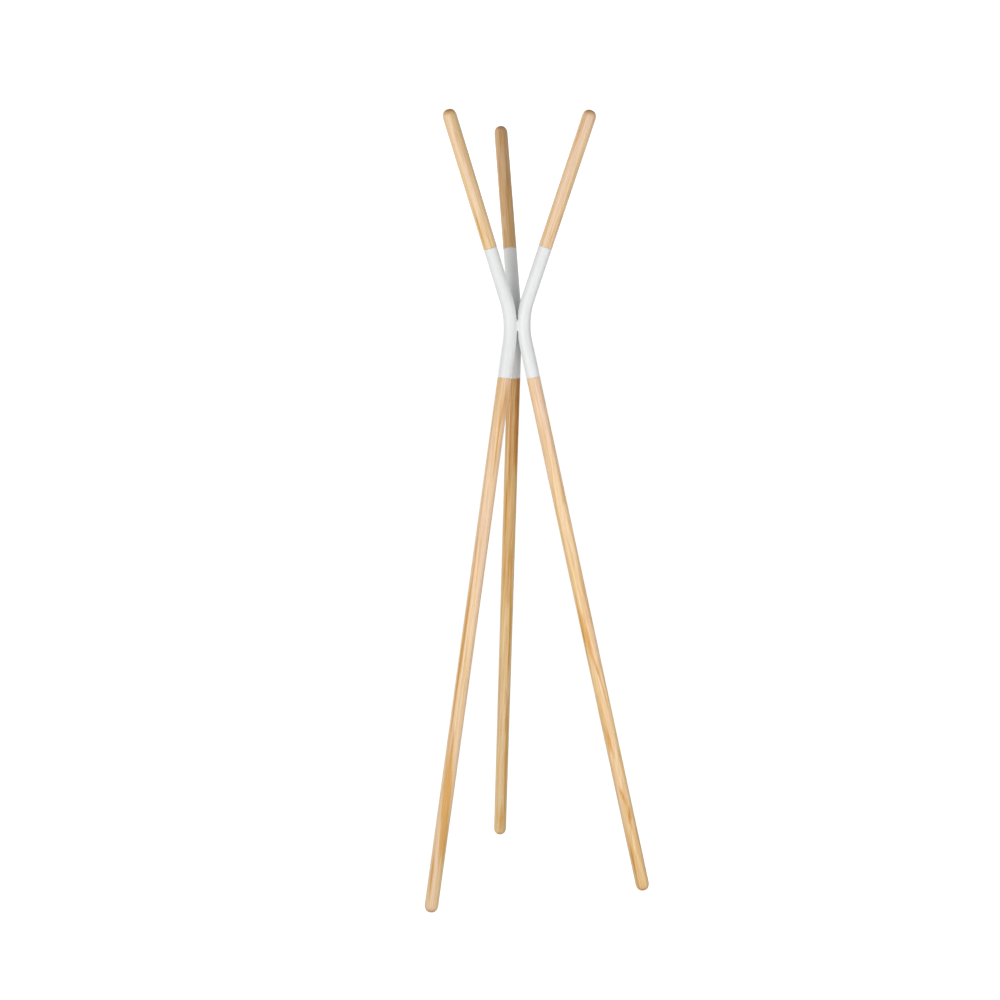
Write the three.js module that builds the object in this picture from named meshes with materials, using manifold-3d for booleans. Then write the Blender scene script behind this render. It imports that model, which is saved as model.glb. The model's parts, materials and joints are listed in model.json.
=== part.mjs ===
// Standing coat rack: three identical rods lean together at a narrow waist and spread again
// above and below it. Each rod is a wooden leg, a bent steel tube and a wooden arm of one
// diameter. The tubes are welded to each other at the waist, and each wooden piece has a
// turned tenon that slides into the tube's end, where a hanger bolt screws into a plug.
// Millimetres, +Z up. The origin is the middle of the bounding box's underside.
import * as THREE from 'three';
import { mergeVertices } from 'three/addons/utils/BufferGeometryUtils.js';
import Module from 'manifold-3d';

// ---------------------------------------------------------------- driving dimensions

const ROD_RADIUS = 15;
const TUBE_WALL = 1.5;
const ARM_TILT = THREE.MathUtils.degToRad(20.7); // from vertical, above the waist
const LEG_TILT = THREE.MathUtils.degToRad(11.9); // from vertical, below the waist
const SIDE_LEAN = THREE.MathUtils.degToRad(0.42); // each rod also leans a little sideways
const BEND_RADIUS = 168; // of the tube's centre line, through the waist
const ARM_REACH = 480; // along the rod, from the waist to the arm's tip
const LEG_REACH = 1294; // along the rod, from the waist to the foot's tip
const TUBE_ABOVE_WAIST = 178.5; // along the rod
const TUBE_BELOW_WAIST = 115; // along the rod

const END_DOME_HEIGHT = 18; // of the rounded end, a superellipse
const END_DOME_POWER = 2.4; // 2 would be an ellipse; more is blunter
const FOOT_FLAT_DEPTH = 0.9; // worn off the foot's dome where it stands
const FIT_GAP = 0.3; // between pieces that touch

const TENON_LENGTH = 35;
const TENON_CHAMFER = 1.5;
const PLUG_LENGTH = 12;
const PLUG_CHAMFER = 0.8;
const BOLT_RADIUS = 4;
const BOLT_IN_WOOD = 40;
const BOLT_POINT_LENGTH = 6;
const BOLT_PAST_PLUG = 4;
const BOLT_CHAMFER = 0.8;

const WELD_ABOVE_WAIST = 2;
const WELD_HALF_HEIGHT = 13;
const WELD_HALF_DEPTH = 3.8;
const WELD_HALF_WIDTH = 6;
const WELD_DEPTH_IN_GROOVE = 6.7; // from the tubes' line of contact out to the bead's middle

const ROUND_SIDES = 24;
const SMALL_ROUND_SIDES = 16;
const TUBE_STEPS = 18;
const DOME_STEPS = 7;
const WELD_SIDES = 16;

const RODS = ['left', 'right', 'back'];
const FIRST_AZIMUTH = THREE.MathUtils.degToRad(210);
const ROD_SPACING = (2 * Math.PI) / RODS.length;

// ---------------------------------------------------------------- derived dimensions

const BORE_RADIUS = ROD_RADIUS - TUBE_WALL;
const SLIDING_RADIUS = BORE_RADIUS - FIT_GAP; // of what goes into the tube
const BOLT_HOLE_RADIUS = BOLT_RADIUS + FIT_GAP;
const TUBE_SPACING = 2 * ROD_RADIUS + FIT_GAP;
const WAIST_RADIUS = TUBE_SPACING / (2 * Math.sin(ROD_SPACING / 2)); // rack's axis to rod's axis
const CONTACT_RADIUS = WAIST_RADIUS * Math.cos(ROD_SPACING / 2); // rack's axis to tube contact

// ---------------------------------------------------------------- materials

const PALE_WOOD = { color: 0xe0be93, roughness: 0.55, metalness: 0 };
const WHITE_PAINT = { color: 0xebeeee, roughness: 0.4, metalness: 0 };
const ZINC_STEEL = { color: 0xb4b6b8, roughness: 0.35, metalness: 1 };
const BARE_STEEL = { color: 0x8c8f92, roughness: 0.5, metalness: 1 };

function piece(name, geometry, finish) {
  const mesh = new THREE.Mesh(geometry, new THREE.MeshStandardMaterial(finish));
  mesh.name = name;
  return mesh;
}

// ---------------------------------------------------------------- the rod's centre line

// A point on the centre line, in the rod's own plane: x is outward from the rack's axis and
// z is height above the waist. The distance runs along the line, upward from the waist.
function rodPoint(distance) {
  const arcTop = BEND_RADIUS * ARM_TILT;
  const arcBottom = -BEND_RADIUS * LEG_TILT;
  const onArc = THREE.MathUtils.clamp(distance, arcBottom, arcTop);
  const slope = onArc / BEND_RADIUS;
  const past = distance - onArc;
  return new THREE.Vector3(
    WAIST_RADIUS + BEND_RADIUS * (1 - Math.cos(slope)) + past * Math.sin(slope),
    0,
    BEND_RADIUS * Math.sin(slope) + past * Math.cos(slope),
  );
}

class RodLine extends THREE.Curve {
  constructor(from, to) {
    super();
    this.from = from;
    this.to = to;
  }

  getPoint(share) {
    return rodPoint(THREE.MathUtils.lerp(this.from, this.to, share));
  }
}

// ---------------------------------------------------------------- solids

function circle(radius) {
  const points = [];
  for (let side = 0; side < ROUND_SIDES; side++) {
    const angle = (side / ROUND_SIDES) * 2 * Math.PI;
    points.push(new THREE.Vector2(radius * Math.cos(angle), radius * Math.sin(angle)));
  }
  return points;
}

function sweptTube(outerRadius, boreRadius) {
  const section = new THREE.Shape(circle(outerRadius));
  if (boreRadius > 0) {
    section.holes.push(new THREE.Path(circle(boreRadius)));
  }
  const extrudePath = new RodLine(-TUBE_BELOW_WAIST, TUBE_ABOVE_WAIST);
  return new THREE.ExtrudeGeometry(section, { steps: TUBE_STEPS, extrudePath });
}

// Turned pieces are drawn as (radius, height) and turned about their own +Z.
function turned(profile, sides) {
  const points = profile.map(([radius, height]) => new THREE.Vector2(radius, height));
  return new THREE.LatheGeometry(points, sides).rotateX(Math.PI / 2);
}

// The domed end, from the rod's side to the middle of the tip.
function domeProfile(tipHeight) {
  const base = tipHeight - END_DOME_HEIGHT;
  const power = 2 / END_DOME_POWER;
  const profile = [];
  for (let step = 0; step < DOME_STEPS; step++) {
    const angle = (step / DOME_STEPS) * (Math.PI / 2);
    profile.push([
      ROD_RADIUS * Math.cos(angle) ** power,
      base + END_DOME_HEIGHT * Math.sin(angle) ** power,
    ]);
  }
  profile.push([0, tipHeight]);
  return profile;
}

// A wooden leg or arm stands on its shoulder at height 0, with the tenon below it.
function woodenRod(length) {
  const holeTop = BOLT_IN_WOOD - TENON_LENGTH + FIT_GAP;
  return turned(
    [
      [0, holeTop],
      [BOLT_HOLE_RADIUS, holeTop],
      [BOLT_HOLE_RADIUS, -TENON_LENGTH],
      [SLIDING_RADIUS - TENON_CHAMFER, -TENON_LENGTH],
      [SLIDING_RADIUS, -TENON_LENGTH + TENON_CHAMFER],
      [SLIDING_RADIUS, 0],
      [ROD_RADIUS, 0],
      ...domeProfile(length),
    ],
    ROUND_SIDES,
  );
}

// The plug's top is at height 0.
function tubePlug() {
  return turned(
    [
      [BOLT_HOLE_RADIUS, 0],
      [BOLT_HOLE_RADIUS, -PLUG_LENGTH],
      [SLIDING_RADIUS - PLUG_CHAMFER, -PLUG_LENGTH],
      [SLIDING_RADIUS, -PLUG_LENGTH + PLUG_CHAMFER],
      [SLIDING_RADIUS, -PLUG_CHAMFER],
      [SLIDING_RADIUS - PLUG_CHAMFER, 0],
      [BOLT_HOLE_RADIUS, 0],
    ],
    ROUND_SIDES,
  );
}

// The hanger bolt's height 0 is where its wood thread meets its machine thread.
function hangerBolt() {
  const machineEnd = -(PLUG_LENGTH + BOLT_PAST_PLUG);
  return turned(
    [
      [0, machineEnd],
      [BOLT_RADIUS - BOLT_CHAMFER, machineEnd],
      [BOLT_RADIUS, machineEnd + BOLT_CHAMFER],
      [BOLT_RADIUS, BOLT_IN_WOOD - BOLT_POINT_LENGTH],
      [0, BOLT_IN_WOOD],
    ],
    SMALL_ROUND_SIDES,
  );
}

// ---------------------------------------------------------------- cutting

const wasm = await Module();
wasm.setup();

function solid(geometry, matrix = new THREE.Matrix4()) {
  const moved = geometry.clone().applyMatrix4(matrix);
  moved.deleteAttribute('normal');
  moved.deleteAttribute('uv');
  const merged = mergeVertices(moved);
  const mesh = new wasm.Mesh({
    numProp: 3,
    vertProperties: merged.attributes.position.array,
    triVerts: Uint32Array.from(merged.index.array),
  });
  return new wasm.Manifold(mesh);
}

function geometryOf(cutSolid) {
  const mesh = cutSolid.getMesh();
  const geometry = new THREE.BufferGeometry();
  geometry.setAttribute('position', new THREE.BufferAttribute(mesh.vertProperties, 3));
  geometry.setIndex(new THREE.BufferAttribute(mesh.triVerts, 1));
  geometry.computeVertexNormals();
  return geometry;
}

// ---------------------------------------------------------------- one rod

// In the rod's own frame, the waist is at height 0 and the rod leans in the XZ plane.
function leaning() {
  const frame = new THREE.Group();
  frame.rotation.x = SIDE_LEAN;
  frame.updateMatrixWorld();
  return frame;
}

// Stands a turned piece on the rod's line, with its +Z towards the near end.
function standOnRod(mesh, distance, upward) {
  mesh.position.copy(rodPoint(distance));
  mesh.rotation.y = upward ? ARM_TILT : Math.PI - LEG_TILT;
  return mesh;
}

// Height of the floor in the rod's frame: just above the lowest point of the foot's dome.
// A superellipse reaches below its base by the length of its half axes' dual power norm.
function floorHeight() {
  const base = rodPoint(-LEG_REACH + END_DOME_HEIGHT).applyMatrix4(leaning().matrixWorld);
  const dualPower = END_DOME_POWER / (END_DOME_POWER - 1);
  const across = ROD_RADIUS * Math.sin(LEG_TILT);
  const along = END_DOME_HEIGHT * Math.cos(LEG_TILT);
  const below = (across ** dualPower + along ** dualPower) ** (1 / dualPower);
  return base.z - below + FOOT_FLAT_DEPTH;
}

// Cuts the small flat that a foot stands on.
function flattenFoot(leg) {
  const frame = leaning();
  frame.add(leg);
  frame.updateMatrixWorld();
  const blockSize = 4 * ROD_RADIUS;
  const foot = rodPoint(-LEG_REACH).applyMatrix4(frame.matrixWorld);
  const underFloor = new THREE.BoxGeometry(blockSize, blockSize, blockSize);
  underFloor.translate(foot.x, foot.y, floorHeight() - blockSize / 2);
  const toLeg = leg.matrixWorld.clone().invert();
  leg.geometry = geometryOf(solid(leg.geometry).subtract(solid(underFloor, toLeg)));
  return leg;
}

// The plug, the bolt and the wooden piece at one end of a tube.
function rodEnd(name, place, wood, tubeEnd, upward) {
  const outward = upward ? 1 : -1;
  const shoulder = tubeEnd + outward * FIT_GAP;
  const tenonEnd = shoulder - outward * TENON_LENGTH;
  const plugFace = tenonEnd - outward * FIT_GAP;
  return [
    standOnRod(piece(name, wood, PALE_WOOD), shoulder, upward),
    standOnRod(piece(`plug_${place}`, tubePlug(), BARE_STEEL), plugFace, upward),
    standOnRod(piece(`hanger_bolt_${place}`, hangerBolt(), ZINC_STEEL), tenonEnd, upward),
  ];
}

function rod(side) {
  const armLength = ARM_REACH - TUBE_ABOVE_WAIST - FIT_GAP;
  const legLength = LEG_REACH - TUBE_BELOW_WAIST - FIT_GAP;
  const [arm, ...armFixings] = rodEnd(
    `arm_${side}`, `upper_${side}`, woodenRod(armLength), TUBE_ABOVE_WAIST, true,
  );
  const [leg, ...legFixings] = rodEnd(
    `leg_${side}`, `lower_${side}`, woodenRod(legLength), -TUBE_BELOW_WAIST, false,
  );
  const tube = piece(`tube_${side}`, sweptTube(ROD_RADIUS, BORE_RADIUS), WHITE_PAINT);
  const frame = leaning();
  frame.add(flattenFoot(leg), arm, tube, ...armFixings, ...legFixings);
  return frame;
}

// ---------------------------------------------------------------- the welds

// One weld bead, in the outer groove between a rod at azimuth 0 and the next one round.
function weldBead() {
  const bead = new THREE.SphereGeometry(1, WELD_SIDES, WELD_SIDES / 2).rotateX(Math.PI / 2);
  bead.scale(WELD_HALF_DEPTH, WELD_HALF_WIDTH, WELD_HALF_HEIGHT);
  bead.translate(CONTACT_RADIUS + WELD_DEPTH_IN_GROOVE, 0, WELD_ABOVE_WAIST);
  bead.rotateZ(ROD_SPACING / 2);
  const cutter = sweptTube(ROD_RADIUS + FIT_GAP, 0);
  const lean = leaning().matrixWorld;
  const toNextRod = new THREE.Matrix4().makeRotationZ(ROD_SPACING).multiply(lean);
  return geometryOf(solid(bead).subtract(solid(cutter, lean)).subtract(solid(cutter, toNextRod)));
}

// ---------------------------------------------------------------- the rack

function coatRack() {
  const rack = new THREE.Group();
  const waistHeight = -floorHeight();
  RODS.forEach((side, index) => {
    const azimuth = FIRST_AZIMUTH + index * ROD_SPACING;
    const nextSide = RODS[(index + 1) % RODS.length];
    const turn = new THREE.Group();
    turn.position.z = waistHeight;
    turn.rotation.z = azimuth;
    turn.add(rod(side), piece(`weld_${side}_${nextSide}`, weldBead(), WHITE_PAINT));
    rack.add(turn);
  });
  const box = new THREE.Box3().setFromObject(rack, true);
  const middle = box.getCenter(new THREE.Vector3());
  rack.position.set(-middle.x, -middle.y, 0);
  return rack;
}

export default coatRack();
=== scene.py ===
"""The looks of the standing coat rack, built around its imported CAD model. Metres, +Z up."""
import json
import math
import random

import bpy
from mathutils import Matrix, Vector


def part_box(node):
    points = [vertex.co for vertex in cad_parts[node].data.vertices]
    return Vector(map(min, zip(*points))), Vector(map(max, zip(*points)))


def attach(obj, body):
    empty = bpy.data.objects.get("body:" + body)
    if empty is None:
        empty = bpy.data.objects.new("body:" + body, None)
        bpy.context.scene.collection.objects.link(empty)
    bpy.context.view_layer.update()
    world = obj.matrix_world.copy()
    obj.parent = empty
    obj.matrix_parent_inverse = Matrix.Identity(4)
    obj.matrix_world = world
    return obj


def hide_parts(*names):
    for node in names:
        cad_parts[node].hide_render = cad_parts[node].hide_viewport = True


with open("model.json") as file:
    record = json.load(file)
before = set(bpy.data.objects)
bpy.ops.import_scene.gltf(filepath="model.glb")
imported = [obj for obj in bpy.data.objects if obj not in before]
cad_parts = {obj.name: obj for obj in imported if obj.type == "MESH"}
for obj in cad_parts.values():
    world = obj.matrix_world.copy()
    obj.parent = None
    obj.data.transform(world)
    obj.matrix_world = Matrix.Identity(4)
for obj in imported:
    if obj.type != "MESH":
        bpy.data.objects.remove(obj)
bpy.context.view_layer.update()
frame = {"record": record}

# ------------------------------------------------------------------ dimensions, as in the CAD model

MM = 0.001
ROD_RADIUS = 15 * MM
TUBE_WALL = 1.5 * MM
ARM_TILT = math.radians(20.7)
LEG_TILT = math.radians(11.9)
SIDE_LEAN = math.radians(0.42)
BEND_RADIUS = 168 * MM
ARM_REACH = 480 * MM
LEG_REACH = 1294 * MM
TUBE_ABOVE_WAIST = 178.5 * MM
TUBE_BELOW_WAIST = 115 * MM
FIT_GAP = 0.3 * MM
END_DOME_HEIGHT = 18 * MM
END_DOME_POWER = 2.4
WELD_ABOVE_WAIST = 2 * MM
TENON_LENGTH = 35 * MM
PLUG_LENGTH = 12 * MM
BOLT_RADIUS = 4 * MM
BOLT_IN_WOOD = 40 * MM
BOLT_PAST_PLUG = 4 * MM

SIDES = ["left", "right", "back"]
ROD_SPACING = 2 * math.pi / len(SIDES)
BORE_RADIUS = ROD_RADIUS - TUBE_WALL
SLIDING_RADIUS = BORE_RADIUS - FIT_GAP
TUBE_SPACING = 2 * ROD_RADIUS + FIT_GAP
WAIST_RADIUS = TUBE_SPACING / (2 * math.sin(ROD_SPACING / 2))
CONTACT_RADIUS = WAIST_RADIUS * math.cos(ROD_SPACING / 2)

ROUND_SIDES = 72
SMALL_ROUND_SIDES = 32

# ------------------------------------------------------------------ places, from the frame


def foot_points():
    """The middle of each foot's flat, by side, from the record's mounts."""
    mounts = {m["name"]: m for m in frame["record"]["mounts"]}
    return {side: Vector(mounts["foot_" + side]["pos_m"]) for side in SIDES}


def middle(node):
    """The middle of a CAD node's box."""
    low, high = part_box(node)
    return (low + high) / 2


FEET = foot_points()
RACK_AXIS = sum(FEET.values(), Vector()) / len(SIDES)
WAIST_HEIGHT = middle("weld_left_right").z - WELD_ABOVE_WAIST
WAIST = Vector((RACK_AXIS.x, RACK_AXIS.y, WAIST_HEIGHT))
FIRST_AZIMUTH = math.radians(210)


def rod_frame(side):
    """From a rod's own frame to the row frame. There it lies in the XZ plane, its waist at height 0."""
    azimuth = FIRST_AZIMUTH + SIDES.index(side) * ROD_SPACING
    turn = Matrix.Rotation(azimuth, 4, "Z") @ Matrix.Rotation(SIDE_LEAN, 4, "X")
    return Matrix.Translation(WAIST) @ turn


def rod_point(distance):
    """A point on the centre line in the rod's own frame, and the line's tilt there from vertical.

    The distance runs along the line, upward from the waist.
    """
    on_arc = min(max(distance, -BEND_RADIUS * LEG_TILT), BEND_RADIUS * ARM_TILT)
    slope = on_arc / BEND_RADIUS
    past = distance - on_arc
    point = Vector((
        WAIST_RADIUS + BEND_RADIUS * (1 - math.cos(slope)) + past * math.sin(slope),
        0,
        BEND_RADIUS * math.sin(slope) + past * math.cos(slope),
    ))
    return point, slope


def stand_on_rod(side, distance, upward):
    """From a turned piece's frame, with its own +Z towards the rod's near tip, to the row frame."""
    point, _ = rod_point(distance)
    tilt = ARM_TILT if upward else math.pi - LEG_TILT
    return rod_frame(side) @ Matrix.Translation(point) @ Matrix.Rotation(tilt, 4, "Y")


# ------------------------------------------------------------------ mesh building

SMOOTH_ANGLE = math.radians(35)  # a sharper edge than this stays crisp


def lofted(name, rings, closed_on_itself=False):
    """A closed mesh through rings of points. A ring of one point closes an end."""
    points = []
    starts = []
    for ring in rings:
        starts.append(len(points))
        points.extend(ring)
    faces = []
    pairs = list(zip(range(len(rings) - 1), range(1, len(rings))))
    if closed_on_itself:
        pairs.append((len(rings) - 1, 0))
    for lower, upper in pairs:
        count = max(len(rings[lower]), len(rings[upper]))
        for here in range(count):
            after = (here + 1) % count
            corners = []
            for ring, at in ((lower, here), (lower, after), (upper, after), (upper, here)):
                corner = starts[ring] + (at if len(rings[ring]) > 1 else 0)
                if corner not in corners:
                    corners.append(corner)
            faces.append(corners)
    mesh = bpy.data.meshes.new(name)
    mesh.from_pydata(points, [], faces)
    mesh.update()
    return mesh


def set_vectors(mesh, name, values):
    """Keeps a vector at each point, which a material reads by this name."""
    attribute = mesh.attributes.new(name, "FLOAT_VECTOR", "POINT")
    attribute.data.foreach_set("vector", [number for value in values for number in value])


def set_floats(mesh, name, values):
    """Keeps a number at each point, which a material reads by this name."""
    attribute = mesh.attributes.new(name, "FLOAT", "POINT")
    attribute.data.foreach_set("value", list(values))


def add_piece(mesh, node, material):
    """Shows a finished mesh in the row frame in place of its CAD node."""
    mesh.materials.append(material)
    mesh.shade_smooth()
    mesh.set_sharp_from_angle(angle=SMOOTH_ANGLE)
    made = bpy.data.objects.new("visual_" + node, mesh)
    bpy.context.scene.collection.objects.link(made)
    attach(made, "root")
    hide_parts(node)
    return made


def turned_rings(profile, sides, radius_at=None):
    """Rings of a turned piece about +Z from its (radius, height) profile.

    A radius rule, such as a thread, changes a radius by its height and its angle round the axis.
    """
    rings = []
    for radius, height in profile:
        if radius == 0:
            rings.append([Vector((0, 0, height))])
            continue
        ring = []
        for side in range(sides):
            angle = 2 * math.pi * side / sides
            here = radius if radius_at is None else radius_at(radius, height, angle)
            ring.append(Vector((here * math.cos(angle), here * math.sin(angle), height)))
        rings.append(ring)
    return rings


def arc(centre, radius, start, end, steps):
    """Profile points on an arc, with angles from the profile's own +radius direction."""
    points = []
    for step in range(steps + 1):
        angle = start + (end - start) * step / steps
        points.append((centre[0] + radius * math.cos(angle), centre[1] + radius * math.sin(angle)))
    return points


def spread(start, end, steps):
    """Evenly spaced heights after start, up to and with end."""
    return [start + (end - start) * step / steps for step in range(1, steps + 1)]


# ------------------------------------------------------------------ wood

TREE_OFFSET = (35 * MM, 75 * MM)  # from the tree's heart to the middle of a rod cut from it
TREE_SLOPE = (math.radians(1.0), math.radians(3.2))  # between the tree's heart and the rod
TREE_HEIGHT = 8.0  # rods are cut from anywhere up to this far up the tree, so that no two are alike

# Each piece's board, at its shoulder and at its tip: how dark it is, from 0 to 1, and how yellow.
# On the back arm, and at the back leg's upper end near the waist, the darkness is partly painted
# shade from the other rods, on top of the board's own tone.
# A value past either end leaves less of the board's own bands to show.
BOARD_TONES_AND_SHADE = {
    "arm_left": ((0.04, 0.75), (0.08, 0.85)),
    "arm_right": ((0.06, 0.35), (0.02, 0.35)),
    # Darker than the other arms, partly as painted shade.
    "arm_back": ((0.56, 0.35), (0.54, 0.4)),
    "leg_left": ((0.3, 0.35), (-0.12, 0.6)),
    "leg_right": ((0.12, 0.45), (0.44, 0.9)),
    # Dark at the shoulder partly as painted shade from the other rods near the waist.
    "leg_back": ((0.74, 1.0), (-0.14, 0.95)),
}
# Warm streaks in the wood, each as (metres from the shoulder, the azimuth from the front that it
# faces, half length, half width, how far it drifts round the rod over its half length, strength).
# Angles are in degrees, anticlockwise from above.
# Two of them, on the right side of the left and the back leg just below the tubes, are partly painted
# shade.
WARM_STREAKS_AND_SHADE = {
    "arm_left": [
        (0.04, -50, 0.05, 0.003, 6, 0.5),
    ],
    "arm_right": [
        (0.25, -50, 0.06, 0.0045, 4, 0.42),
        (0.05, 15, 0.07, 0.003, 6, 0.5),
    ],
    "arm_back": [
        (0.16, 14, 0.1, 0.004, 14, 0.3),
        (0.25, -25, 0.04, 0.003, 10, 0.38),
    ],
    "leg_left": [
        # Partly painted shade from the other rods, on the right side just below the tube.
        (0.05, 22, 0.06, 0.005, -8, 0.7),
        (0.14, 8, 0.1, 0.0018, 4, 0.6),
        (0.6, -52, 0.24, 0.0038, 2, 0.9),
        (0.93, -6, 0.12, 0.0085, 26, 1.2),
        (1.1, -44, 0.06, 0.004, 5, 0.5),
    ],
    "leg_right": [
        (0.2, 30, 0.12, 0.0025, 8, 0.7),
        (0.57, -42, 0.07, 0.008, 12, 0.9),
        (0.66, -6, 0.05, 0.003, 20, 0.8),
        (0.72, 16, 0.04, 0.0018, 8, 0.8),
        (0.83, -38, 0.04, 0.006, 6, 0.7),
        (0.95, -22, 0.03, 0.004, 30, 0.65),
        (1.0, 6, 0.03, 0.003, -30, 0.55),
        (1.11, -50, 0.05, 0.004, 0, 0.5),
    ],
    "leg_back": [
        # Partly painted shade from the other rods, on the right side just below the tube.
        (0.06, 38, 0.18, 0.006, -2, 1.0),
        (0.08, 14, 0.12, 0.0016, 2, 0.8),
        (0.1, -27, 0.12, 0.0018, 2, 0.8),
        (0.35, -46, 0.18, 0.0028, 3, 0.8),
        (0.5, -4, 0.12, 0.0014, 3, 0.7),
        (0.6, 24, 0.14, 0.003, 6, 0.8),
        (0.95, 28, 0.2, 0.0042, 2, 0.85),
        (1.13, -6, 0.06, 0.012, 4, 0.45),
    ],
}

DOME_STEPS = 24
LENGTH_STEP = 12 * MM
TENON_CHAMFER = 1.5 * MM
WORN_EDGE = 0.25 * MM
DRILL_POINT = 2 * MM  # depth of the cone at the pilot hole's end


def wood_profile(length):
    """From the pilot hole's bottom, over the tenon and the shoulder, to the middle of the domed tip."""
    hole = BOLT_RADIUS + FIT_GAP
    hole_top = BOLT_IN_WOOD - TENON_LENGTH + FIT_GAP
    profile = [
        (0, hole_top + DRILL_POINT),
        (hole, hole_top),
        (hole, -TENON_LENGTH + WORN_EDGE),
        (hole + WORN_EDGE, -TENON_LENGTH),
        (SLIDING_RADIUS - TENON_CHAMFER, -TENON_LENGTH),
        (SLIDING_RADIUS, -TENON_LENGTH + TENON_CHAMFER),
        (SLIDING_RADIUS, 0),
        (ROD_RADIUS - WORN_EDGE, 0),
        (ROD_RADIUS, WORN_EDGE),
    ]
    dome_base = length - END_DOME_HEIGHT
    steps = round((dome_base - WORN_EDGE) / LENGTH_STEP)
    profile += [(ROD_RADIUS, height) for height in spread(WORN_EDGE, dome_base, steps)]
    return profile + dome(dome_base) + [(0, length)]


def dome(base):
    """The rounded end above the rod's side, without its middle point: a superellipse."""
    power = 2 / END_DOME_POWER
    points = []
    for step in range(1, DOME_STEPS):
        angle = math.pi / 2 * step / DOME_STEPS
        points.append((
            ROD_RADIUS * math.cos(angle) ** power,
            base + END_DOME_HEIGHT * math.sin(angle) ** power,
        ))
    return points


def tree_frame(rng):
    """Where a rod sat in the tree: from the rod's frame to one whose Z is the tree's heart."""
    turn = Matrix.Rotation(rng.uniform(0, 2 * math.pi), 4, "Z")
    slope = Matrix.Rotation(rng.uniform(*TREE_SLOPE), 4, "Y")
    twist = Matrix.Rotation(rng.uniform(-0.5, 0.5) * math.pi, 4, "Z")
    place = Matrix.Translation((rng.uniform(*TREE_OFFSET), 0, rng.uniform(0, TREE_HEIGHT)))
    return place @ twist @ slope @ turn


def warmth(point, direction, warm_marks):
    """How warm the wood's streak marks and the painted shade make a point of a rod's side, given its
    outward direction. 0 is not at all.
    """
    azimuth = math.atan2(direction.x, -direction.y)
    deepest = 0.0
    for along, facing, half_length, half_width, drift, strength in warm_marks:
        share = (point.z - along) / half_length
        middle_azimuth = math.radians(facing + drift * share)
        turn = (azimuth - middle_azimuth + math.pi) % (2 * math.pi) - math.pi
        across = turn * ROD_RADIUS / half_width
        deepest = max(deepest, strength * math.exp(-(share**2) - across**2))
    return deepest


def wooden_rod(node, side, length, distance, upward, rng):
    """A leg or an arm from its tenon to its domed tip, with all that the wood's material reads."""
    mesh = lofted(node, turned_rings(wood_profile(length), ROUND_SIDES))
    in_tree = tree_frame(rng)
    in_row = stand_on_rod(side, distance, upward)
    local = [vertex.co.copy() for vertex in mesh.vertices]
    outward = [in_row.to_3x3() @ Vector((point.x, point.y, 0)) for point in local]
    warm_marks = WARM_STREAKS_AND_SHADE.get(node, [])
    dome_base = length - END_DOME_HEIGHT
    set_vectors(mesh, "grain", [in_tree @ point for point in local])
    for name, at_shoulder, at_tip in zip(("darkness_and_shade", "yellowness"), *BOARD_TONES_AND_SHADE[node]):
        rise = at_tip - at_shoulder
        set_floats(mesh, name, [at_shoulder + rise * point.z / length for point in local])
    set_floats(mesh, "warmth", [warmth(*pair, warm_marks) for pair in zip(local, outward)])
    set_floats(mesh, "end_grain", [max(0.0, point.z - dome_base) / END_DOME_HEIGHT for point in local])
    mesh.transform(in_row)
    flatten_under_floor(mesh)
    return add_piece(mesh, node, WOOD)


def flatten_under_floor(mesh):
    """The foot's small worn flat: nothing reaches below the floor."""
    for vertex in mesh.vertices:
        vertex.co.z = max(vertex.co.z, 0.0)


# ------------------------------------------------------------------ steel tubes and welds

RIM_ROUNDING = 0.3 * MM
RIM_STEPS = 3
TUBE_STEP = 4 * MM


def rounded_rim(outer, bore, rounding):
    """(radius, distance in from the end) points of a tube's rim, from the outside to the bore."""
    outside = arc((outer - rounding, rounding), rounding, 0, -math.pi / 2, RIM_STEPS)
    inside = arc((bore + rounding, rounding), rounding, -math.pi / 2, -math.pi, RIM_STEPS)
    return outside + inside


def bent_tube(node, side):
    """A tube along the rod's centre line, with a bore and rounded rims.

    Its rings go up the outside, round the top rim, down the bore and round the bottom rim.
    """
    low, high = -TUBE_BELOW_WAIST, TUBE_ABOVE_WAIST
    rim = rounded_rim(ROD_RADIUS, BORE_RADIUS, RIM_ROUNDING)
    steps = round((high - low) / TUBE_STEP)
    along = spread(low + RIM_ROUNDING, high - RIM_ROUNDING, steps)[:-1]
    walk = [(ROD_RADIUS, distance) for distance in along]
    walk += [(radius, high - inset) for radius, inset in rim]
    walk += [(BORE_RADIUS, distance) for distance in reversed(along)]
    walk += [(radius, low + inset) for radius, inset in reversed(rim)]
    rings = []
    straight = []
    for radius, distance in walk:
        point, slope = rod_point(distance)
        outward = Vector((math.cos(slope), 0, -math.sin(slope)))
        sideways = Vector((0, 1, 0))
        ring = []
        for step in range(ROUND_SIDES):
            angle = 2 * math.pi * step / ROUND_SIDES
            across = radius * math.cos(angle)
            beside = radius * math.sin(angle)
            ring.append(point + outward * across + sideways * beside)
            straight.append(Vector((across, beside, distance)))
        rings.append(ring)
    mesh = lofted(node, rings, closed_on_itself=True)
    set_vectors(mesh, "grain", straight)
    mesh.transform(rod_frame(side))
    return add_piece(mesh, node, PAINT)


WELD_HALF_HEIGHT = 13 * MM
WELD_FACE = 10.3 * MM  # from the tubes' line of contact out to where the bead's face meets them
WELD_ROOT = 3.0 * MM  # the same at the bead's two ends
WELD_BACK = 1.5 * MM  # the same for the bead's back
WELD_END_POWER = 5  # the higher it is, the shorter the taper at each end
WELD_BITE = 0.12 * MM  # how far the bead is melted into each tube
WELD_RIPPLE = 0.1 * MM
WELD_RIPPLE_PITCH = 2.1 * MM
WELD_RIPPLE_BOW = 1.2 * MM  # how far each ripple trails behind in the bead's middle
WELD_STEPS = 84
WELD_FACE_STEPS = 16
WELD_FLANK_STEPS = 6


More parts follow.
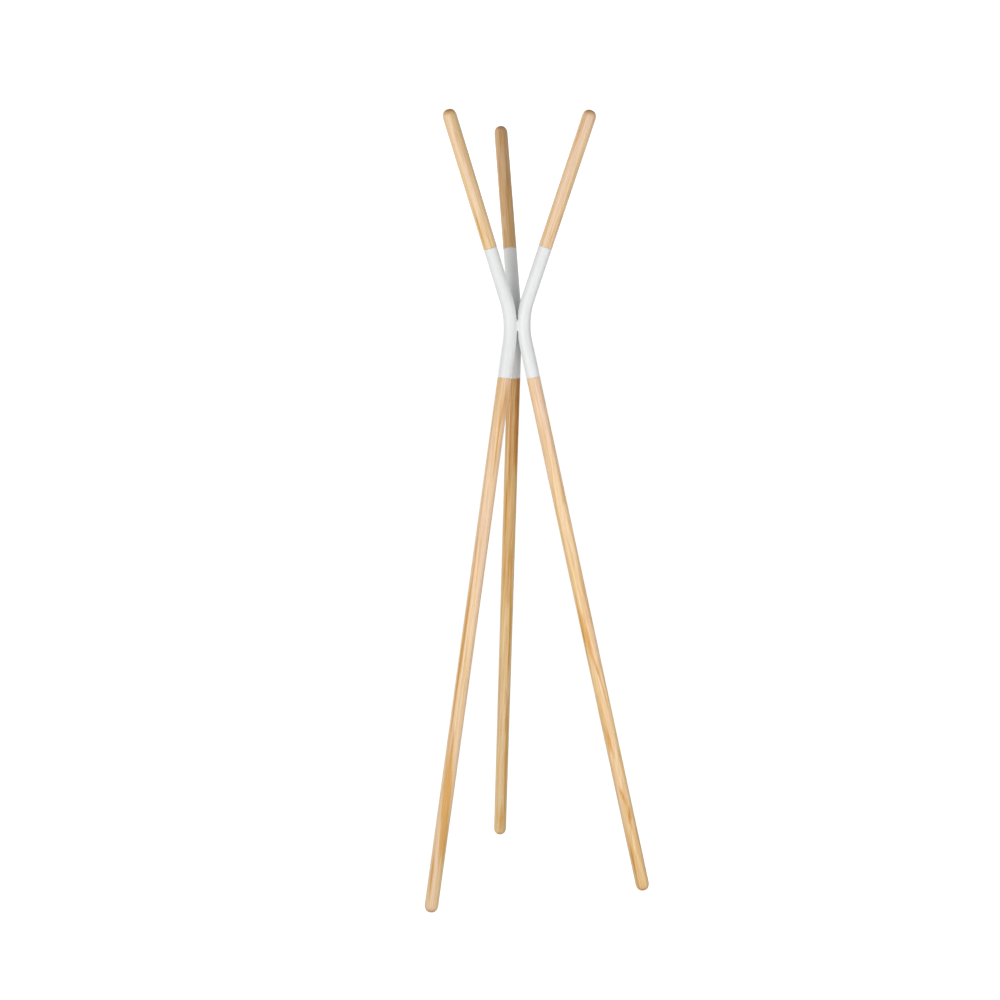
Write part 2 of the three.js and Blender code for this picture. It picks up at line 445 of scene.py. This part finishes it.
def weld_ring(height):
    """The bead's outline at a height, as points (outward from the tubes' contact, sideways, height)."""
    share = height / WELD_HALF_HEIGHT
    fullness = math.sqrt(1 - abs(share) ** WELD_END_POWER)
    depth = WELD_ROOT + (WELD_FACE - WELD_ROOT) * fullness
    bent_away = rod_point(height + WELD_ABOVE_WAIST)[0].x - WAIST_RADIUS
    half_spacing = TUBE_SPACING / 2 + bent_away * math.sin(ROD_SPACING / 2)
    contact_shift = bent_away * math.cos(ROD_SPACING / 2)

    # The face is a hollow fillet: an arc that is tangent to both tubes.
    toe = math.asin(depth / ROD_RADIUS)
    to_centre = half_spacing / math.cos(toe)
    face_radius = to_centre - ROD_RADIUS
    face_centre = to_centre * math.sin(toe)
    ring = []
    for step in range(WELD_FACE_STEPS + 1):
        across = -1 + 2 * step / WELD_FACE_STEPS
        turn = across * (math.pi / 2 - toe)
        bow = 1 - across**2
        ripple_phase = (height + WELD_RIPPLE_BOW * bow) / WELD_RIPPLE_PITCH
        ripple = WELD_RIPPLE * math.sin(2 * math.pi * ripple_phase) * bow * fullness
        out = face_centre - face_radius * math.cos(turn) + ripple
        aside = face_radius * math.sin(turn) + across * WELD_BITE
        ring.append(Vector((out + contact_shift, aside, height)))
    for side in (1, -1):
        flank = []
        for step in range(1, WELD_FLANK_STEPS):
            out = depth + (WELD_BACK - depth) * step / WELD_FLANK_STEPS
            half_gap = half_spacing - math.sqrt(ROD_RADIUS**2 - out**2) + WELD_BITE
            flank.append(Vector((out + contact_shift, side * half_gap, height)))
        ring += flank if side == 1 else flank[::-1]
    return ring


def weld_bead(node, side):
    """One bead, in the outer groove between this side's tube and the next one round."""
    heights = [
        WELD_HALF_HEIGHT * math.sin(math.pi / 2 * (-1 + 2 * step / WELD_STEPS))
        for step in range(1, WELD_STEPS)
    ]
    tip = Vector((WELD_ROOT, 0, WELD_HALF_HEIGHT))
    rings = [[Vector((tip.x, 0, -tip.z))]]
    rings += [weld_ring(height) for height in heights]
    rings.append([tip])
    mesh = lofted(node, rings)
    set_vectors(mesh, "grain", [vertex.co.copy() for vertex in mesh.vertices])
    azimuth = FIRST_AZIMUTH + (SIDES.index(side) + 0.5) * ROD_SPACING
    from_contact = Matrix.Translation((CONTACT_RADIUS, 0, WELD_ABOVE_WAIST))
    in_groove = Matrix.Rotation(azimuth, 4, "Z") @ from_contact
    mesh.transform(Matrix.Translation(WAIST) @ in_groove)
    return add_piece(mesh, node, PAINT)


# ------------------------------------------------------------------ hidden fixings

MACHINE_PITCH = 1.25 * MM
MACHINE_DEPTH = 0.65 * MM
MACHINE_END = -1.0 * MM  # where the machine thread runs out, below the tenon's end
WOOD_PITCH = 3.2 * MM
WOOD_DEPTH = 1.1 * MM
WOOD_START = 3 * MM
BOLT_POINT_LENGTH = 6 * MM
BOLT_POINT_POWER = 0.7  # 1 would be a plain cone
PLUG_THREAD_DEPTH = 0.35 * MM
STEEL_CHAMFER = 0.8 * MM
THREAD_STEP = 0.3 * MM


def threaded(pitch, depth, start, end):
    """A radius rule that cuts a helical thread between two heights, fading in and out over a pitch.

    A negative depth cuts outward, into the wall of a bore.
    """

    def radius_at(radius, height, angle):
        inside = min(height - start, end - height) / pitch
        fade = min(1.0, max(0.0, inside))
        turn = (height / pitch - angle / (2 * math.pi)) % 1.0
        ridge = abs(2 * turn - 1)
        return radius - depth * fade * ridge

    return radius_at


def hanger_bolt(node, side, distance, upward):
    """A stud with a machine thread below height 0, for the plug, and a wood thread above it."""
    low = -(PLUG_LENGTH + BOLT_PAST_PLUG)
    machine_thread = threaded(MACHINE_PITCH, MACHINE_DEPTH, low, MACHINE_END)
    wood_thread = threaded(WOOD_PITCH, WOOD_DEPTH, WOOD_START, BOLT_IN_WOOD)

    def radius_at(radius, height, angle):
        thread = machine_thread if height < 0 else wood_thread
        return thread(radius, height, angle)

    shank_start = low + STEEL_CHAMFER
    shank_end = BOLT_IN_WOOD - BOLT_POINT_LENGTH
    shank_steps = round((shank_end - low) / THREAD_STEP)
    profile = [(0, low), (BOLT_RADIUS - STEEL_CHAMFER, low), (BOLT_RADIUS, shank_start)]
    profile += [(BOLT_RADIUS, height) for height in spread(shank_start, shank_end, shank_steps)]
    point_steps = round(BOLT_POINT_LENGTH / THREAD_STEP)
    for index in range(1, point_steps):
        share = index / point_steps
        radius = BOLT_RADIUS * (1 - share) ** BOLT_POINT_POWER
        profile.append((radius, shank_end + BOLT_POINT_LENGTH * share))
    profile.append((0, BOLT_IN_WOOD))
    mesh = lofted(node, turned_rings(profile, SMALL_ROUND_SIDES, radius_at))
    set_vectors(mesh, "grain", [vertex.co.copy() for vertex in mesh.vertices])
    mesh.transform(stand_on_rod(side, distance, upward))
    return add_piece(mesh, node, ZINC)


def tube_plug(node, side, distance, upward):
    """A chamfered disc with a threaded bore, its face at height 0."""
    bore = BOLT_RADIUS + FIT_GAP
    outer = SLIDING_RADIUS
    steps = round(PLUG_LENGTH / THREAD_STEP)
    thread = threaded(MACHINE_PITCH, -PLUG_THREAD_DEPTH, -PLUG_LENGTH, 0)

    def radius_at(radius, height, angle):
        return thread(radius, height, angle) if radius == bore else radius

    profile = [(bore, height) for height in spread(0, -PLUG_LENGTH, steps)]
    profile += [
        (outer - STEEL_CHAMFER, -PLUG_LENGTH),
        (outer, -PLUG_LENGTH + STEEL_CHAMFER),
        (outer, -STEEL_CHAMFER),
        (outer - STEEL_CHAMFER, 0),
        (bore, 0),
    ]
    rings = turned_rings(profile, SMALL_ROUND_SIDES, radius_at)
    mesh = lofted(node, rings, closed_on_itself=True)
    set_vectors(mesh, "grain", [vertex.co.copy() for vertex in mesh.vertices])
    mesh.transform(stand_on_rod(side, distance, upward))
    return add_piece(mesh, node, BARE_STEEL)


# ------------------------------------------------------------------ material nodes


class Graph:
    """Short names for the shader nodes of a material or a world."""

    def __init__(self, owner):
        owner.use_nodes = True
        self.tree = owner.node_tree

    def node(self, kind, **settings):
        node = self.tree.nodes.new("ShaderNode" + kind)
        for name, value in settings.items():
            setattr(node, name, value)
        return node

    def feed(self, socket, value):
        """Sets a socket to a number or a colour, or links it to another node's output."""
        if isinstance(value, bpy.types.NodeSocket):
            self.tree.links.new(value, socket)
        elif isinstance(value, tuple) and socket.type == "RGBA":
            socket.default_value = (*value, 1.0)
        else:
            socket.default_value = value

    def attribute(self, name, output="Vector"):
        return self.node("Attribute", attribute_name=name).outputs[output]

    def math(self, operation, a, b=0.0):
        node = self.node("Math", operation=operation)
        self.feed(node.inputs[0], a)
        self.feed(node.inputs[1], b)
        return node.outputs[0]

    def vector_math(self, operation, a, b, output):
        node = self.node("VectorMath", operation=operation)
        self.feed(node.inputs[0], a)
        self.feed(node.inputs[1], b)
        return node.outputs[output]

    def scaled(self, vector, scale):
        return self.vector_math("MULTIPLY", vector, scale, "Vector")

    def vector_length(self, vector):
        return self.vector_math("LENGTH", vector, (0, 0, 0), "Value")

    def noise(self, vector, detail=2.0, roughness=0.5):
        """Soft noise from 0 to 1, with about one wave for each unit of the vector."""
        node = self.node("TexNoise")
        self.feed(node.inputs["Vector"], vector)
        self.feed(node.inputs["Scale"], 1.0)
        self.feed(node.inputs["Detail"], detail)
        self.feed(node.inputs["Roughness"], roughness)
        return node.outputs["Fac"]

    def random(self, value):
        """A random number from 0 to 1 for each whole value."""
        node = self.node("TexWhiteNoise", noise_dimensions="1D")
        self.feed(node.inputs["W"], value)
        return node.outputs["Value"]

    def ramp(self, value, stops):
        """A grey or a colour for a value from 0 to 1, through (position, grey or colour) stops."""
        node = self.node("ValToRGB")
        self.feed(node.inputs["Fac"], value)
        elements = node.color_ramp.elements
        while len(elements) < len(stops):
            elements.new(1.0)
        for element, (position, stop) in zip(elements, stops):
            colour = stop if isinstance(stop, tuple) else (stop, stop, stop)
            element.position = position
            element.color = (*colour, 1.0)
        return node.outputs["Color"]

    def spread(self, value, low, high, to_low=0.0, to_high=1.0, kind="LINEAR"):
        """Takes low to high onto to_low to to_high, and holds the ends."""
        node = self.node("MapRange", interpolation_type=kind)
        for index, number in enumerate((value, low, high, to_low, to_high)):
            self.feed(node.inputs[index], number)
        return node.outputs["Result"]

    def smooth(self, value, low, high):
        """From 0 at low to 1 at high, without a corner."""
        return self.spread(value, low, high, kind="SMOOTHSTEP")

    def grey(self, value):
        node = self.node("CombineColor")
        for socket in node.inputs:
            self.feed(socket, value)
        return node.outputs["Color"]

    def mix(self, share, a, b, blend="MIX"):
        node = self.node("Mix", data_type="RGBA", blend_type=blend)
        factor, first, second = (node.inputs[index] for index in (0, 6, 7))
        self.feed(factor, share)
        self.feed(first, a)
        self.feed(second, b)
        return node.outputs[2]

    def stained(self, colour, stain, share):
        """A colour with a share of a stain soaked into it."""
        return self.mix(share, colour, self.mix(1.0, colour, stain, "MULTIPLY"))

    def bump(self, height, distance, strength):
        node = self.node("Bump")
        self.feed(node.inputs["Strength"], strength)
        self.feed(node.inputs["Distance"], distance)
        self.feed(node.inputs["Height"], height)
        return node.outputs["Normal"]

    def shade(self, **values):
        """Sets the shader's sockets. An underscore stands for a space in a socket's name."""
        shader = self.tree.nodes["Principled BSDF"]
        for name, value in values.items():
            self.feed(shader.inputs[name.replace("_", " ")], value)


RING_SPACING = 4.2 * MM
RING_WANDER = 30 * MM


def wood_material():
    """Pale wood under a satin lacquer, its pattern set out round the heart of the tree it came from.

    Each noise is scaled in waves per metre, across the tree twice and then up it.
    """
    material = bpy.data.materials.new("pale_wood")
    g = Graph(material)
    grain = g.attribute("grain")
    darkness_and_shade = g.attribute("darkness_and_shade", "Fac")
    yellowness = g.attribute("yellowness", "Fac")
    warm_streak_and_shade = g.attribute("warmth", "Fac")
    end_grain = g.attribute("end_grain", "Fac")

    # Growth rings, which wander a little up the tree, so that they end in arches on the rod's side.
    from_heart = g.vector_length(g.scaled(grain, (1, 1, 0)))
    wander = g.noise(g.scaled(grain, (22, 22, 3.2)), detail=3.0, roughness=0.55)
    wandering = g.math("ADD", from_heart, g.math("MULTIPLY", wander, RING_WANDER))
    rings = g.math("MULTIPLY", wandering, 1 / RING_SPACING)
    this_ring = g.random(g.math("FLOOR", rings))
    late_wood = g.ramp(g.math("FRACT", rings), [
        (0.0, 0.35),
        (0.12, 0.0),
        (0.5, 0.12),
        (0.85, 1.0),
        (0.95, 0.9),
        (1.0, 0.35),
    ])

    # Broad bands along the rod, from pinkish to yellow and from pale to dark, and the fine fibres.
    hue = g.noise(g.scaled(grain, (80, 80, 3.0)), detail=2.0)
    bands = g.noise(g.scaled(grain, (190, 190, 5.0)), detail=3.0, roughness=0.6)
    fibres = g.noise(g.scaled(grain, (2400, 2400, 34)), detail=3.0, roughness=0.7)
    pores = g.noise(g.scaled(grain, (3600, 3600, 130)), detail=1.0)

    # The darkness includes painted shade on the back arm and at the back leg's upper end.
    shade = g.math("ADD", darkness_and_shade, g.spread(bands, 0.28, 0.72, -0.42, 0.42))
    shade = g.math("ADD", shade, g.spread(this_ring, 0.0, 1.0, -0.13, 0.13))
    colour = g.ramp(shade, [
        (0.0, (0.88, 0.665, 0.445)),
        (0.3, (0.805, 0.575, 0.335)),
        (0.6, (0.735, 0.475, 0.225)),
        (1.0, (0.58, 0.335, 0.13)),
    ])
    yellow = g.math("ADD", yellowness, g.spread(hue, 0.35, 0.65, -0.4, 0.4))
    tint = g.mix(yellow, (1.0, 0.965, 1.08), (1.0, 0.97, 0.78))
    colour = g.mix(1.0, colour, tint, "MULTIPLY")
    colour = g.stained(colour, (0.86, 0.73, 0.56), g.math("MULTIPLY", late_wood, 0.5))

    # The warm streaks, with ragged sides; two, just below the tubes on two legs, are partly painted
    # shade.
    ragged = g.math("ADD", warm_streak_and_shade, g.spread(bands, 0.3, 0.7, -0.3, 0.3))
    warm = g.math("MULTIPLY", g.smooth(ragged, 0.1, 0.65), g.smooth(warm_streak_and_shade, 0.02, 0.25))
    colour = g.stained(colour, (0.84, 0.64, 0.28), warm)

    # Fibres, and pores that are deepest in the late wood.
    colour = g.mix(1.0, colour, g.grey(g.spread(fibres, 0.3, 0.7, 0.92, 1.06)), "MULTIPLY")
    in_pore = g.math("MULTIPLY", g.smooth(pores, 0.62, 0.72), g.spread(late_wood, 0.0, 1.0, 0.25, 1.0))
    colour = g.mix(g.math("MULTIPLY", in_pore, 0.35), colour, (0.34, 0.19, 0.08))

    # The end grain of the domes drinks in more lacquer.
    colour = g.stained(colour, (0.77, 0.6, 0.4), g.smooth(end_grain, 0.25, 1.0))

    relief = g.math("SUBTRACT", fibres, in_pore)
    g.shade(
        Base_Color=colour,
        Roughness=g.spread(fibres, 0.2, 0.8, 0.4, 0.56),
        Coat_Weight=0.15,
        Coat_Roughness=0.3,
        Normal=g.bump(relief, 0.03 * MM, 0.6),
    )
    return material


def paint_material():
    """Satin white powder coat: fine orange peel, a faint cloudiness and a few specks."""
    material = bpy.data.materials.new("white_powder_coat")
    g = Graph(material)
    grain = g.attribute("grain")
    peel = g.noise(g.scaled(grain, (620, 620, 620)), detail=2.0, roughness=0.4)
    cloud = g.noise(g.scaled(grain, (45, 45, 20)), detail=3.0)
    speck = g.noise(g.scaled(grain, (1900, 1900, 1900)), detail=1.0)
    colour = g.ramp(cloud, [(0.3, (0.78, 0.793, 0.79)), (0.7, (0.812, 0.822, 0.82))])
    colour = g.mix(g.spread(speck, 0.74, 0.8, 0.0, 0.25), colour, (0.6, 0.6, 0.58))
    g.shade(
        Base_Color=colour,
        Roughness=g.spread(peel, 0.3, 0.7, 0.34, 0.46),
        Normal=g.bump(peel, 0.1 * MM, 0.8),
    )
    return material


def steel_material(name, dark, light, low_rough, high_rough):
    """Turned or plated steel with fine tool marks round it."""
    material = bpy.data.materials.new(name)
    g = Graph(material)
    grain = g.attribute("grain")
    marks = g.noise(g.scaled(grain, (120, 120, 5200)), detail=2.0)
    stain = g.noise(g.scaled(grain, (160, 160, 160)), detail=4.0)
    colour = g.ramp(stain, [(0.3, dark), (0.7, light)])
    g.shade(
        Base_Color=colour,
        Metallic=1.0,
        Roughness=g.spread(marks, 0.2, 0.8, low_rough, high_rough),
        Normal=g.bump(marks, 0.02 * MM, 0.5),
    )
    return material


# ------------------------------------------------------------------ camera, light and floor

CAMERA_DISTANCE = 3.0885  # level, from the rack's axis
CAMERA_ABOVE_WAIST = 0.019
CAMERA_AZIMUTH = math.radians(-10.616)  # round the rack's axis, anticlockwise from above
CAMERA_YAW = math.radians(0.788)  # how far left of the axis it aims
CAMERA_PITCH = math.radians(-7.455)
CAMERA_ROLL = math.radians(0.972)
CAMERA_LENS = 50.095
SENSOR = 36.0


def add_camera():
    """Stands the camera in front of the rack, a little to its left, looking slightly down."""
    data = bpy.data.cameras.new("camera")
    data.lens = CAMERA_LENS
    data.sensor_width = SENSOR
    data.clip_start = 0.05
    data.clip_end = 200
    camera = bpy.data.objects.new("camera", data)
    bpy.context.scene.collection.objects.link(camera)
    bpy.context.scene.camera = camera
    level = Matrix.Rotation(math.pi / 2, 4, "X")
    aim = (
        Matrix.Rotation(CAMERA_AZIMUTH, 4, "Z")
        @ Matrix.Translation((0, -CAMERA_DISTANCE, CAMERA_ABOVE_WAIST))
        @ Matrix.Rotation(CAMERA_YAW, 4, "Z")
        @ Matrix.Rotation(CAMERA_PITCH, 4, "X")
        @ Matrix.Rotation(CAMERA_ROLL, 4, "Y")
        @ level
    )
    camera.matrix_world = Matrix.Translation(WAIST) @ aim


# Soft lights all round, each as (azimuth from the front, elevation, brightness). The angles are in
# degrees, azimuth anticlockwise from above.
SKY = [
    (-90, 0, 0.21),
    (-50, 0, 1.6),
    (50, 0, 0.55),
    (150, 5, 1.1),
    (-150, 5, 1.1),
    (0, 90, 0.15),
    (0, -80, 0.45),
]
SKY_SHARPNESS = 4.0


def add_world(sky):
    """White to the camera. To everything else, a dark room with soft lights round it."""
    world = bpy.data.worlds.new("studio")
    bpy.context.scene.world = world
    g = Graph(world)
    direction = g.node("TexCoord").outputs["Generated"]
    total = 0.0
    for azimuth, elevation, brightness in sky:
        turn = math.radians(azimuth)
        rise = math.radians(elevation)
        axis = (math.sin(turn) * math.cos(rise), -math.cos(turn) * math.cos(rise), math.sin(rise))
        towards = g.math("MAXIMUM", g.vector_math("DOT_PRODUCT", direction, axis, "Value"), 0.0)
        lobe = g.math("MULTIPLY", g.math("POWER", towards, SKY_SHARPNESS), brightness)
        total = g.math("ADD", lobe, total)
    seen = g.node("LightPath").outputs["Is Camera Ray"]
    strength = g.math("MAXIMUM", total, seen)
    background = g.tree.nodes["Background"]
    g.feed(background.inputs["Color"], (1, 1, 1))
    g.feed(background.inputs["Strength"], strength)


# Softboxes near the rack, each as (azimuth from the front in degrees, height, power in watts).
SOFTBOXES = [
    (-40, 1.2, 4.2),
    (40, 1.2, 4.6),
    (15, 0.35, 4.8),
    (40, 0.3, 1.6),
]
SOFTBOX_DISTANCE = 1.4
SOFTBOX_WIDTH = 0.7
SOFTBOX_HEIGHT = 1.0


def add_softbox(index, azimuth, height, power):
    """An upright rectangle of soft light, which faces the rack."""
    light = bpy.data.lights.new(f"softbox_{index}", "AREA")
    light.shape = "RECTANGLE"
    light.size = SOFTBOX_WIDTH
    light.size_y = SOFTBOX_HEIGHT
    light.energy = power
    lamp = bpy.data.objects.new(light.name, light)
    bpy.context.scene.collection.objects.link(lamp)
    turn = Matrix.Rotation(math.radians(azimuth), 4, "Z")
    upright = Matrix.Rotation(math.radians(90), 4, "X")
    lamp.matrix_world = turn @ Matrix.Translation((0, -SOFTBOX_DISTANCE, height)) @ upright
    lamp.visible_camera = False


FLOOR_RADII = (0.5, 2, 8, 25, 60)
FLOOR_SIDES = 96
FLOOR_GLOW = 0.85
FLOOR_COLOUR = (0.5, 0.5, 0.5)


def add_floor():
    """A pale floor that glows a little, so that it meets the white background without a line."""
    profile = [(0, 0)] + [(radius, 0) for radius in FLOOR_RADII]
    mesh = lofted("floor", turned_rings(profile, FLOOR_SIDES))
    floor = bpy.data.objects.new("floor", mesh)
    bpy.context.scene.collection.objects.link(floor)
    floor.visible_diffuse = False
    floor.visible_glossy = False
    floor.visible_shadow = False
    material = bpy.data.materials.new("pale_floor")
    g = Graph(material)
    g.shade(
        Base_Color=FLOOR_COLOUR,
        Roughness=0.9,
        Specular_IOR_Level=0.0,
        Emission_Color=(1, 1, 1),
        Emission_Strength=FLOOR_GLOW,
    )
    mesh.materials.append(material)


# ------------------------------------------------------------------ the scene

bpy.context.scene.view_settings.view_transform = "Standard"
add_camera()
add_world(SKY)
for index, softbox in enumerate(SOFTBOXES):
    add_softbox(index, *softbox)
add_floor()

WOOD = wood_material()
PAINT = paint_material()
ZINC = steel_material("zinc_plate", (0.5, 0.51, 0.52), (0.72, 0.73, 0.74), 0.25, 0.4)
BARE_STEEL = steel_material("bare_steel", (0.32, 0.32, 0.33), (0.5, 0.5, 0.5), 0.35, 0.55)

wood_rng = random.Random(7)
for index, side in enumerate(SIDES):
    next_side = SIDES[(index + 1) % len(SIDES)]
    bent_tube("tube_" + side, side)
    weld_bead(f"weld_{side}_{next_side}", side)
    for part, reach, tube_end, upward in (
        ("arm", ARM_REACH, TUBE_ABOVE_WAIST, True),
        ("leg", LEG_REACH, TUBE_BELOW_WAIST, False),
    ):
        outward = 1 if upward else -1
        level = "upper" if upward else "lower"
        shoulder = outward * (tube_end + FIT_GAP)
        tenon_end = shoulder - outward * TENON_LENGTH
        wooden_rod(f"{part}_{side}", side, reach - tube_end - FIT_GAP, shoulder, upward, wood_rng)
        hanger_bolt(f"hanger_bolt_{level}_{side}", side, tenon_end, upward)
        tube_plug(f"plug_{level}_{side}", side, tenon_end - outward * FIT_GAP, upward)
